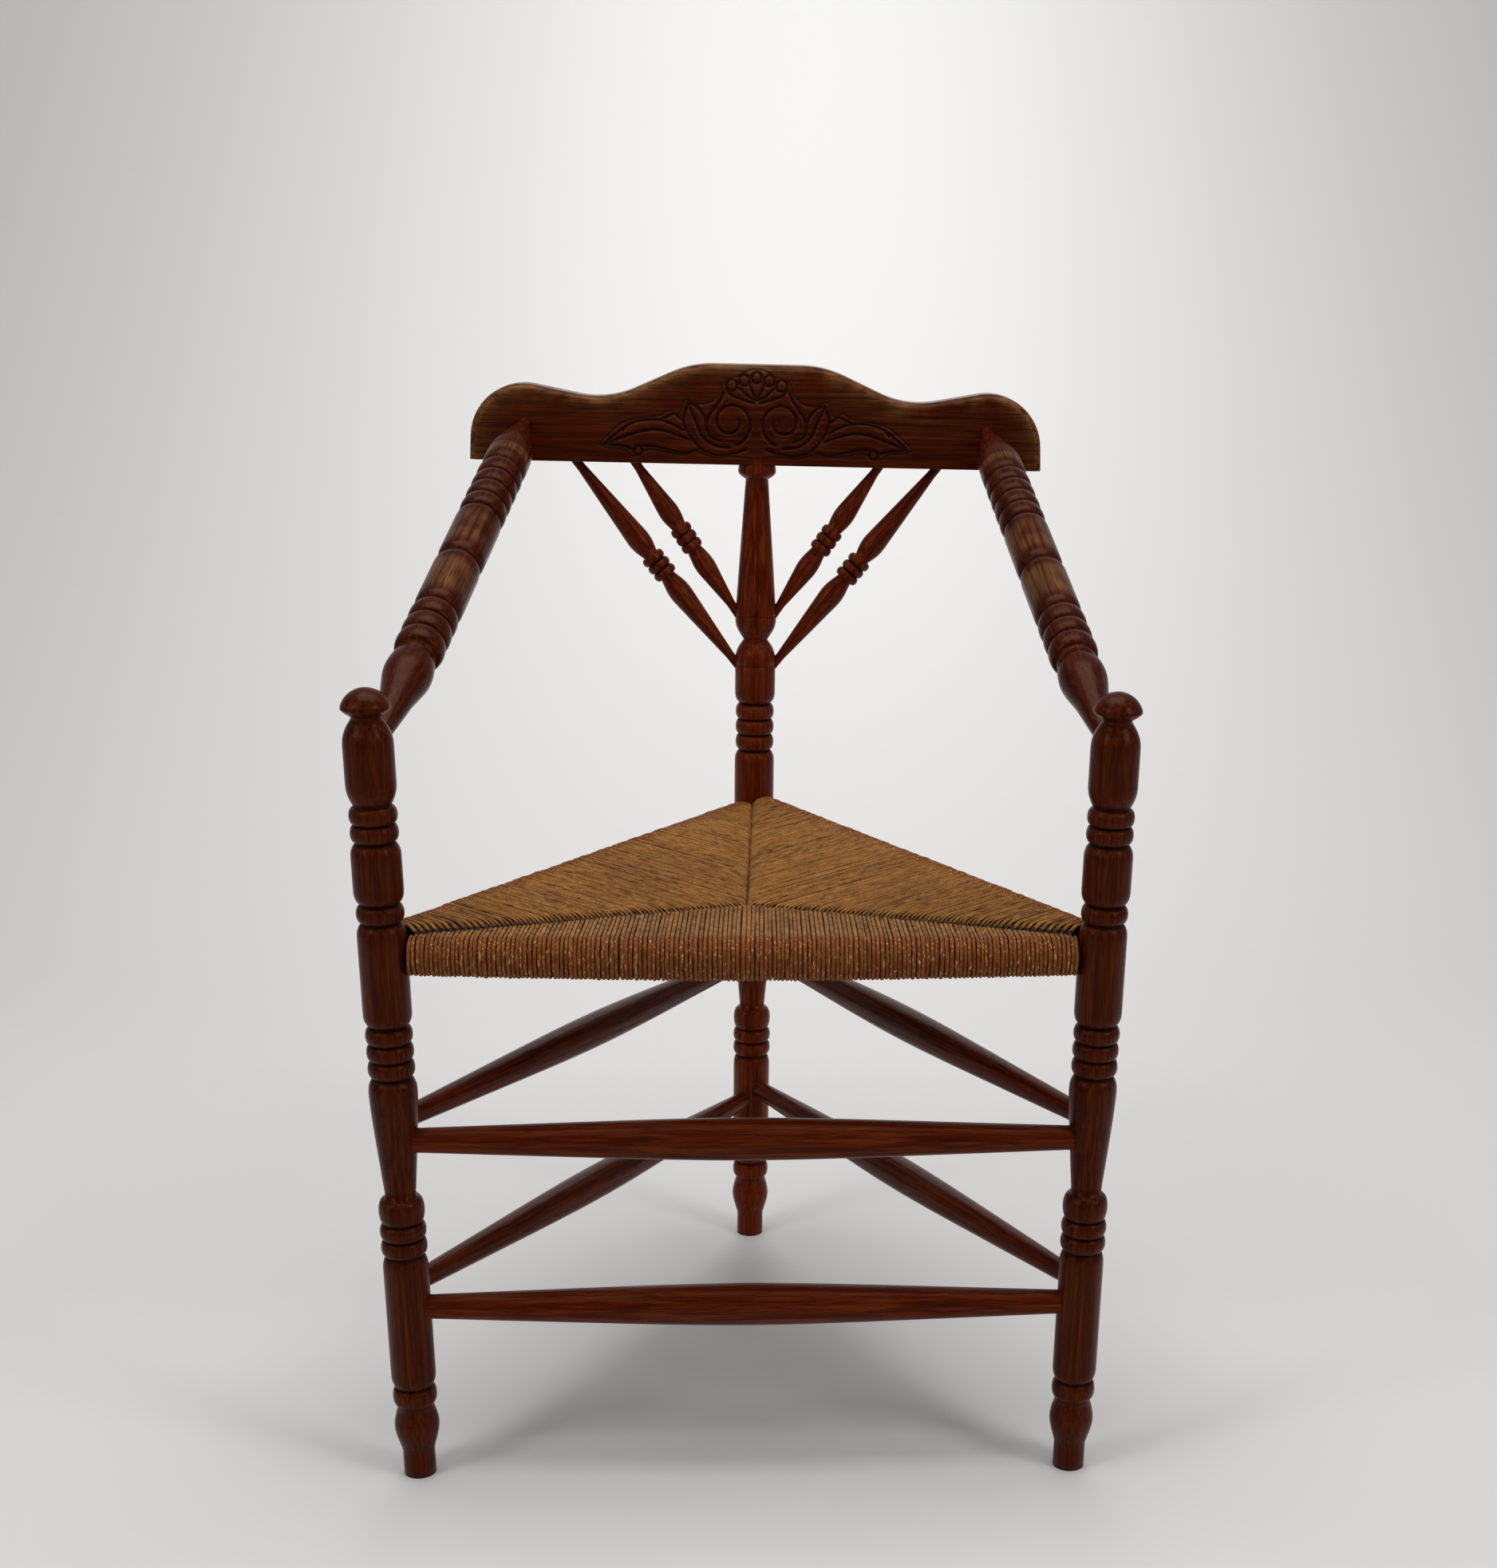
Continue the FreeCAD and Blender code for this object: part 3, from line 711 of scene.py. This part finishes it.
def crest_piece():
    """Crest rail as one closed skin of loops across it, with the carving raised from its front."""
    place = crest_place()
    rim, half_thickness = crest_outline(place)
    across = crest_columns(rim)
    tops = np.interp(across, rim[:, 0], rim[:, 1])
    front_rows = crest_rows()
    back_rows = front_rows[::-CREST_BACK_THINNING]
    rows = len(front_rows) + len(back_rows)
    grid_across = np.repeat(across, rows)
    above = np.outer(tops, np.concatenate([front_rows, back_rows])).ravel()
    is_front = np.tile(np.arange(rows) < len(front_rows), len(across))
    distance = distance_to_lines(np.column_stack([grid_across, above]), rim[:-1], rim[1:])
    height, cut = carving_height(grid_across, above)
    front = rounding_depth(distance, CREST_FRONT_ROUNDING) - height - half_thickness
    back = half_thickness - rounding_depth(distance, CREST_BACK_ROUNDING)
    bottom = rounding_depth(above, CREST_BOTTOM_ROUNDING)
    depth = np.where(is_front, front + bottom, back - bottom)
    faces = grid_faces(len(across), rows, True)
    last = rows * (len(across) - 1)
    faces.append(tuple(range(rows))[::-1])
    faces.append(tuple(range(last, last + rows)))
    piece = mesh_object("carved_crest_rail", np.column_stack([grid_across, depth, above]), faces, place)
    # The depth of the carved cuts also paints shade into them
    add_values(piece, "groove", np.where(is_front, cut, 0))
    # The crest rail's wear mask follows its rounded rim: partly real wear, partly a painted highlight along
    # the edge
    add_values(piece, "flat", np.exp(-distance / CREST_FRONT_ROUNDING))
    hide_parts("crest_rail")
    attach(piece, "root")
    return piece


# Rush seat


class SeatPanel:
    """One panel of the seat: its rail's axis between two posts, and the way into the seat."""

    def __init__(self, rail, first_post, last_post):
        foot, axis, _, _, _ = turned_outline(rail)
        rail_point, rail_way = Vector(foot), Vector(axis)
        self.start, self.start_gap = self.crossing(rail_point, rail_way, first_post)
        self.end, self.end_gap = self.crossing(rail_point, rail_way, last_post)
        self.length = (self.end - self.start).length
        self.along = (self.end - self.start).normalized()
        inward = SEAT_MIDDLE - self.start
        inward -= self.along * inward.dot(self.along)
        self.inward = Vector((inward.x, inward.y, 0)).normalized()
        self.up = self.along.cross(self.inward)
        if self.up.z < 0:
            self.up = -self.up
        self.reach = (SEAT_MIDDLE - self.start).dot(self.inward)
        self.peak = (SEAT_MIDDLE - self.start).dot(self.along)
        middle_height = (self.start.z + self.end.z) / 2
        self.middle_top = SEAT_MIDDLE.z - middle_height
        self.middle_bottom = self.middle_top - SEAT_MIDDLE_THICKNESS

    def crossing(self, rail_point, rail_way, post):
        """Where the rail's axis passes a post's axis, and the room that the post takes there."""
        foot, axis, heights, radii, _ = turned_outline(post)
        post_point, post_way = Vector(foot), Vector(axis)
        offset = post_point - rail_point
        mix = rail_way.dot(post_way)
        along = (offset.dot(rail_way) - mix * offset.dot(post_way)) / (1 - mix * mix)
        point = rail_point + rail_way * along
        height = (point - post_point).dot(post_way)
        return point, float(np.interp(height, heights, radii)) + POST_GAP

    def seam(self, place):
        """Distance into the seat where a cord at a place along the rail meets the seam."""
        if place < self.peak:
            return self.reach * place / self.peak
        return self.reach * (self.length - place) / (self.length - self.peak)

    def route(self, place, inset, dive):
        """Points of a cord from the seam over the rail and back under it, in the panel's own plane."""
        end = max(self.seam(place) - SEAM_GAP, SHORTEST_REACH)
        radius = SEAT_ROLL_RADIUS - inset
        shares = np.sin(np.linspace(math.pi / 2, 0, CORD_STEPS_ON_TOP + 1)[:-1])
        top_in = end * shares
        top_up = radius + (self.middle_top - SEAT_ROLL_RADIUS) * top_in / self.reach
        top_up -= dive * np.clip(1 - (end - top_in) / SEAM_DIVE_REACH, 0, 1) ** 2
        turns = np.linspace(math.pi / 2, 3 * math.pi / 2, CORD_STEPS_ROUND + 1)
        sag = ROLL_SAG * math.sin(math.pi * place / self.length)
        round_in = radius * np.cos(turns)
        round_up = radius * np.sin(turns) - sag * np.clip(-np.sin(turns), 0, 1)
        low_share = np.linspace(0, 1, CORD_STEPS_BELOW + 1)[1:]
        low_in = end * low_share
        low_up = (self.middle_bottom + SEAT_ROLL_RADIUS) * low_in / self.reach - radius
        low_up -= sag * (1 - low_share)
        return np.concatenate([top_in, round_in, low_in]), np.concatenate([top_up, round_up, low_up])

    def world(self, place, inward, up):
        points = np.outer(inward, self.inward) + np.outer(up, self.up)
        return points + np.array(self.start + self.along * place)


def cord_places(panel, thick_start):
    """Middles and widths of the panel's cords along its rail, with thicker ones beside its first post."""
    widths = []
    room = panel.length - panel.start_gap - panel.end_gap
    count = round(room / CORD_PITCH)
    for index in range(count):
        width = random.uniform(*CORD_WIDTHS)
        if thick_start and index < CORNER_CORDS:
            width += CORNER_CORD_GROWTH
        widths.append(width)
    scale = room / sum(widths)
    place = panel.start_gap
    places = []
    for width in widths:
        places.append((place + width * scale / 2, width * scale))
        place += width * scale
    return places


def wander(count, size):
    """Slow random drift along a cord."""
    knots = [random.gauss(0, size) for _ in range(WANDER_KNOTS)]
    return np.interp(np.linspace(0, WANDER_KNOTS - 1, count), range(WANDER_KNOTS), knots)


def cord_mesh(panel, place, width):
    """Vertices of one twisted cord, with a ring of them at each point of its route."""
    inset = CORD_THICKNESS / 2 - random.uniform(-CORD_INSET_SPREAD, CORD_INSET_SPREAD) * MM
    inward, up = panel.route(place, inset, SEAM_DIVE)
    count = len(inward)
    up = up + wander(count, CORD_WANDER_UP)
    centres = panel.world(place, inward, up)
    sideways = np.array(panel.along)
    centres = centres + np.outer(wander(count, CORD_WANDER_SIDEWAYS), sideways)
    steps = np.gradient(centres, axis=0)
    steps /= np.linalg.norm(steps, axis=1)[:, None]
    outward = np.cross(steps, sideways)
    lengths = np.append(0, np.cumsum(np.linalg.norm(np.diff(centres, axis=0), axis=1)))
    around = np.linspace(0, 2 * math.pi, CORD_SIDES, endpoint=False)
    twist = 2 * math.pi * (lengths / CORD_TWIST_LENGTH + random.random())
    swell = 1 + CORD_TWIST_DEPTH * np.cos(2 * around[None, :] - twist[:, None])
    ends = np.minimum(1, CORD_END_SIZE + np.arange(count) * CORD_END_GROWTH)
    ends = np.minimum(ends, ends[::-1])
    wide = width / 2 * CORD_CROWDING * ends[:, None] * np.cos(around)[None, :] * swell
    thick = CORD_THICKNESS / 2 * ends[:, None] * np.sin(around)[None, :] * swell
    vertices = centres[:, None, :] + wide[:, :, None] * sideways
    vertices = vertices + thick[:, :, None] * outward[:, None, :]
    on_roll = np.clip(1 - np.maximum(inward, 0) / SEAT_ROLL_RADIUS, 0, 1)
    return vertices.reshape(-1, 3), lengths, around, on_roll


def rush_piece(panels):
    """All cords of the seat as one mesh, with each cord's tone and place for its material."""
    vertices, faces, tones, rolls, alongs, sides = [], [], [], [], [], []
    total = 0
    for panel, thick_start in panels:
        for place, width in cord_places(panel, thick_start):
            points, lengths, around, on_roll = cord_mesh(panel, place, width)
            rows = len(lengths)
            faces.append(np.array(grid_faces(rows, CORD_SIDES, True)) + total)
            vertices.append(points)
            tones.append(np.full(len(points), random.random()))
            rolls.append(np.repeat(on_roll, CORD_SIDES))
            alongs.append(np.repeat(lengths + random.random(), CORD_SIDES))
            # How far each point faces sideways, which sets the painted shade between cords
            sides.append(np.tile(np.abs(np.cos(around)), rows))
            total += len(points)
    piece = mesh_object("rush_cords", np.concatenate(vertices), np.concatenate(faces))
    add_values(piece, "tone", np.concatenate(tones))
    add_values(piece, "roll", np.concatenate(rolls))
    add_values(piece, "along", np.concatenate(alongs))
    add_values(piece, "side", np.concatenate(sides))
    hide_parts("woven_rush_seat")
    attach(piece, "root")
    return piece


def core_piece(panels):
    """Inner layer of rush under the outermost cords, which closes the gaps between them, in a near-black
    colour of painted shade.
    """
    vertices, faces = [], []
    total = 0
    for panel, _ in panels:
        first = panel.start_gap + CORE_END_GAP
        last = panel.length - panel.end_gap - CORE_END_GAP
        for place in np.linspace(first, last, CORE_COLUMNS):
            inward, up = panel.route(place, CORE_INSET, 0)
            vertices.append(panel.world(place, inward, up))
        columns = len(inward)
        faces.append(np.array(grid_faces(CORE_COLUMNS, columns, True)) + total)
        total += CORE_COLUMNS * columns
    piece = mesh_object("rush_core", np.concatenate(vertices), np.concatenate(faces))
    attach(piece, "root")
    return piece


# Materials


class Nodes:
    """Short way to build a material's nodes."""

    def __init__(self, name):
        self.material = bpy.data.materials.new(name)
        self.material.use_nodes = True
        self.tree = self.material.node_tree
        self.tree.nodes.clear()
        self.output = self.tree.nodes.new("ShaderNodeOutputMaterial")

    def add(self, kind, settings=None, **inputs):
        node = self.tree.nodes.new("ShaderNode" + kind)
        for key, value in (settings or {}).items():
            setattr(node, key, value)
        for key, value in inputs.items():
            self.plug(node.inputs[key.replace("_", " ")], value)
        return node

    def plug(self, socket, value):
        if isinstance(value, bpy.types.NodeSocket):
            self.tree.links.new(value, socket)
        elif isinstance(value, bpy.types.Node):
            self.tree.links.new(value.outputs[0], socket)
        else:
            socket.default_value = value

    def attribute(self, name):
        return self.add("Attribute", {"attribute_name": name}).outputs["Fac"]

    def stretched(self, coordinates, scale):
        return self.add("Mapping", Vector=coordinates, Scale=scale).outputs["Vector"]

    def noise(self, coordinates, scale, detail=4.0, roughness=0.55, distortion=0.0):
        node = self.add("TexNoise", Vector=coordinates, Scale=scale, Detail=detail, Roughness=roughness,
                        Distortion=distortion)
        return node.outputs["Fac"]

    def math(self, operation, first, second, clamp=False):
        node = self.add("Math", {"operation": operation, "use_clamp": clamp})
        self.plug(node.inputs[0], first)
        self.plug(node.inputs[1], second)
        return node.outputs[0]

    def between(self, value, low, high, out_low=0.0, out_high=1.0):
        node = self.add("MapRange")
        for index, number in enumerate((value, low, high, out_low, out_high)):
            self.plug(node.inputs[index], number)
        return node.outputs[0]

    def mix(self, amount, first, second):
        """Mix of two colours, whose sockets go by number because other sockets share their names."""
        node = self.add("Mix", {"data_type": "RGBA"})
        self.plug(node.inputs["Factor"], amount)
        self.plug(node.inputs[6], first)
        self.plug(node.inputs[7], second)
        return node.outputs[2]

    def bump(self, height, strength, distance, normal=None):
        node = self.add("Bump", Height=height, Strength=strength, Distance=distance)
        if normal is not None:
            self.plug(node.inputs["Normal"], normal)
        return node.outputs["Normal"]

    def surface(self, **inputs):
        shader = self.add("BsdfPrincipled", **inputs)
        self.tree.links.new(shader.outputs[0], self.output.inputs["Surface"])
        return self.material


def rgb(red, green, blue, shade=1.0):
    """A colour with its alpha, darker or lighter by the shade."""
    return (red * shade, green * shade, blue * shade, 1.0)


def cover(node, material):
    """Give a CAD node that stays in the scene its material."""
    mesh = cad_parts[node].data
    mesh.materials.clear()
    mesh.materials.append(material)


def oak_material(name, shade, wear_and_sheen, along_x=False):
    """Dark stained oak under worn satin varnish, with its grain along Z, or X, of the piece's own frame; the
    wear mask also paints a highlight along the crest rail's rim, and grooves and cuts get painted shade.
    """
    nodes = Nodes(name)
    local = nodes.add("TexCoord").outputs["Object"]
    if along_x:
        local = nodes.add("Mapping", Vector=local, Rotation=(0, math.pi / 2, 0)).outputs["Vector"]
    figure = nodes.noise(nodes.stretched(local, FIGURE_REPEATS), 1.0, 3.0, 0.6, 0.7)
    streaks = nodes.noise(nodes.stretched(local, STREAK_REPEATS), 1.0, 5.0, 0.65)
    pores = nodes.noise(nodes.stretched(local, PORE_REPEATS), 1.0, 2.0, 0.5)
    pore_lines = nodes.between(pores, 0.58, 0.68)
    blotches = nodes.noise(local, BLOTCH_REPEATS, 3.0, 0.6)
    # The shade factor darkens or lightens each kind of piece: partly its own tone, partly painted light and
    # shade
    color = nodes.mix(nodes.between(figure, 0.3, 0.7), rgb(*OAK_DARK, shade),
                      rgb(*OAK_MIDDLE, shade))
    color = nodes.mix(nodes.between(streaks, 0.45, 0.7, 0, 0.8), color, rgb(*OAK_STREAK, shade))
    # Lighter bare wood where hands wear the stain; on the crest rail's rim it is also a painted highlight
    wear_and_sheen_mask = nodes.math("MULTIPLY", nodes.attribute("flat"), wear_and_sheen)
    patches = nodes.between(blotches, 0.36, 0.56)
    wear_and_sheen_mask = nodes.math("MULTIPLY", wear_and_sheen_mask, patches, clamp=True)
    bare_wood_and_sheen = nodes.mix(nodes.between(streaks, 0.35, 0.65), rgb(*WORN_AND_SHEEN_DARK), rgb(*WORN_AND_SHEEN_PALE))
    color = nodes.mix(wear_and_sheen_mask, color, bare_wood_and_sheen)
    color = nodes.mix(nodes.math("MULTIPLY", pore_lines, 0.7), color, rgb(*OAK_PORE))
    groove = nodes.attribute("groove")
    # Painted shade: grooves and carved cuts darken towards near black with their depth
    color = nodes.mix(nodes.math("MULTIPLY", groove, 0.9), color, rgb(*OAK_GROOVE_PAINTED_SHADE))
    roughness = nodes.between(streaks, 0.3, 0.7, 0.22, 0.36)
    roughness = nodes.math("ADD", roughness, nodes.math("MULTIPLY", groove, 0.25))
    normal = nodes.bump(nodes.math("MULTIPLY", pore_lines, -1.0), 0.35, 0.0003)
    normal = nodes.bump(streaks, 0.15, 0.0005, normal)
    return nodes.surface(Base_Color=color, Roughness=roughness, Normal=normal, Specular_IOR_Level=0.14,
                         Specular_Tint=rgb(*VARNISH_TINT))


def rush_material(name):
    """Twisted rush cords: straw to brown, redder and with pale broken fibres where they turn over a rail,
    with painted shade on their flanks between neighbouring cords.
    """
    nodes = Nodes(name)
    local = nodes.add("TexCoord").outputs["Object"]
    tone = nodes.attribute("tone")
    roll = nodes.attribute("roll")
    along = nodes.attribute("along")
    broad = nodes.noise(local, BROAD_REPEATS, 3.0, 0.6)
    fibres = nodes.noise(nodes.stretched(local, FIBRE_REPEATS), 1.0, 3.0, 0.6)
    run = nodes.math("MULTIPLY", along, STRIPE_REPEATS)
    lane = nodes.math("MULTIPLY", tone, STRIPE_LANES)
    stripes = nodes.noise(nodes.add("CombineXYZ", X=run, Y=lane), 1.0, 3.0, 0.6)
    color = nodes.mix(nodes.between(tone, 0.0, 1.0), rgb(*RUSH_BROWN), rgb(*RUSH_STRAW))
    color = nodes.mix(nodes.between(stripes, 0.35, 0.65, 0, 0.85), color, rgb(*RUSH_STRIPE))
    color = nodes.mix(nodes.between(broad, 0.35, 0.65, 0, 0.4), color, rgb(*RUSH_SHADE))
    red = nodes.between(roll, 0.45, 1.0, 0.0, 0.75)
    color = nodes.mix(red, color, rgb(*RUSH_RED))
    flecks = nodes.noise(nodes.stretched(local, FLECK_REPEATS), 1.0, 3.0, 0.6, 0.5)
    bare = nodes.between(roll, 0.3, 0.8, 0.1, 0.85)
    pale = nodes.math("MULTIPLY", nodes.between(flecks, 0.58, 0.68), bare)
    color = nodes.mix(pale, color, rgb(*RUSH_FLECK))
    color = nodes.mix(nodes.between(fibres, 0.4, 0.7, 0, 0.55), color, rgb(*RUSH_FIBRE))
    # Painted shade: each cord's flanks, where they meet their neighbours, darken almost to black
    gap = nodes.between(nodes.attribute("side"), 0.6, 0.95, 0, 0.95)
    color = nodes.mix(gap, color, rgb(*RUSH_GAP_SHADE))
    normal = nodes.bump(fibres, 0.5, 0.0006)
    return nodes.surface(Base_Color=color, Roughness=0.6, Normal=normal, Specular_IOR_Level=0.15)


def shaded_inner_rush_material(name):
    """Dull rush of the seat's inside, darkened as painted shade in the gaps between the outer cords."""
    nodes = Nodes(name)
    local = nodes.add("TexCoord").outputs["Object"]
    grain = nodes.noise(nodes.stretched(local, INNER_REPEATS), 1.0, 4.0, 0.6)
    color = nodes.mix(nodes.between(grain, 0.3, 0.7), rgb(*INNER_SHADE_DARK), rgb(*INNER_SHADE_PALE))
    return nodes.surface(Base_Color=color, Roughness=0.85, Normal=nodes.bump(grain, 0.6, 0.001))


# Stage


def stage():
    """Seamless pale sweep: a floor that curves up into a wall."""
    bend_start = SWEEP_WALL - SWEEP_BEND
    profile = [(SWEEP_FRONT, 0.0), (bend_start, 0.0)]
    for step in range(1, SWEEP_BEND_STEPS + 1):
        turn = math.pi / 2 * step / SWEEP_BEND_STEPS
        out = SWEEP_BEND * math.sin(turn)
        profile.append((bend_start + out, SWEEP_BEND - SWEEP_BEND * math.cos(turn)))
    profile.append((SWEEP_WALL, SWEEP_HEIGHT))
    vertices = [(side * SWEEP_HALF_WIDTH, y, z) for y, z in profile for side in (-1, 1)]
    sweep = mesh_object("sweep", vertices, grid_faces(len(profile), 2, False))
    nodes = Nodes("pale_sweep")
    sweep.data.materials.append(nodes.surface(Base_Color=rgb(*SWEEP_COLOR), Roughness=0.7))


def area_light(name, position, target, size, power):
    light = bpy.data.lights.new(name, "AREA")
    light.shape = "RECTANGLE"
    light.size, light.size_y = size
    light.energy = power
    lamp = bpy.data.objects.new(name, light)
    bpy.context.scene.collection.objects.link(lamp)
    lamp.location = position
    lamp.rotation_euler = (Vector(target) - Vector(position)).to_track_quat("-Z", "Y").to_euler()


def soft_sky():
    """Pale world that lights the object a little from all round."""
    world = bpy.data.worlds.new("soft_sky")
    bpy.context.scene.world = world
    world.use_nodes = True
    background = world.node_tree.nodes["Background"]
    background.inputs["Color"].default_value = rgb(*SKY_COLOR)
    background.inputs["Strength"].default_value = SKY_STRENGTH


def camera():
    """Camera before the chair, looking slightly down."""
    forward = Vector((
        math.sin(CAMERA_YAW) * math.cos(CAMERA_PITCH),
        math.cos(CAMERA_YAW) * math.cos(CAMERA_PITCH),
        -math.sin(CAMERA_PITCH),
    ))
    level = Vector((math.cos(CAMERA_YAW), -math.sin(CAMERA_YAW), 0))
    upright = level.cross(forward)
    right = level * math.cos(CAMERA_ROLL) + upright * math.sin(CAMERA_ROLL)
    up = upright * math.cos(CAMERA_ROLL) - level * math.sin(CAMERA_ROLL)
    turn = Matrix((right, up, -forward)).transposed().to_4x4()
    lens = bpy.data.cameras.new("photo_camera")
    lens.lens = CAMERA_LENS
    lens.sensor_width = CAMERA_SENSOR_WIDTH
    lens.sensor_fit = "AUTO"
    lens.shift_x, lens.shift_y = CAMERA_SHIFT
    eye = bpy.data.objects.new("photo_camera", lens)
    bpy.context.scene.collection.objects.link(eye)
    eye.matrix_world = Matrix.Translation(CAMERA_POSITION) @ turn
    bpy.context.scene.camera = eye


def main():
    random.seed(RANDOM_SEED)
    camera()
    for settings in LIGHTS:
        area_light(*settings)
    soft_sky()
    stage()
    turned_kinds = ("post", "stretcher", "spindle", "arm")
    oak = {kind: oak_material(kind + "_oak", *OAK_TONE_WEAR_AND_PAINTED_LIGHT[kind]) for kind in turned_kinds}
    for name in TURNED_NODES:
        kind = name.split("_")[-1]
        turned_piece(name).data.materials.append(oak[kind] if name != "back_post" else oak["spindle"])
    crest_piece().data.materials.append(oak_material("crest_oak", *OAK_TONE_WEAR_AND_PAINTED_LIGHT["crest"], along_x=True))
    panels = [
        (SeatPanel("front_seat_rail", "front_left_post", "front_right_post"), False),
        (SeatPanel("right_seat_rail", "front_right_post", "back_post"), True),
        (SeatPanel("left_seat_rail", "front_left_post", "back_post"), True),
    ]
    rush_piece(panels).data.materials.append(rush_material("rush"))
    shaded_inner_rush = shaded_inner_rush_material("inner_rush_painted_shade")
    core_piece(panels).data.materials.append(shaded_inner_rush)
    for side in ("front", "left", "right"):
        # The stuffing gets the same inner rush, darkened as painted shade
        cover(side + "_seat_stuffing", shaded_inner_rush)
        cover(side + "_seat_rail", oak["stretcher"])
    bpy.context.scene.view_settings.view_transform = "Standard"


main()
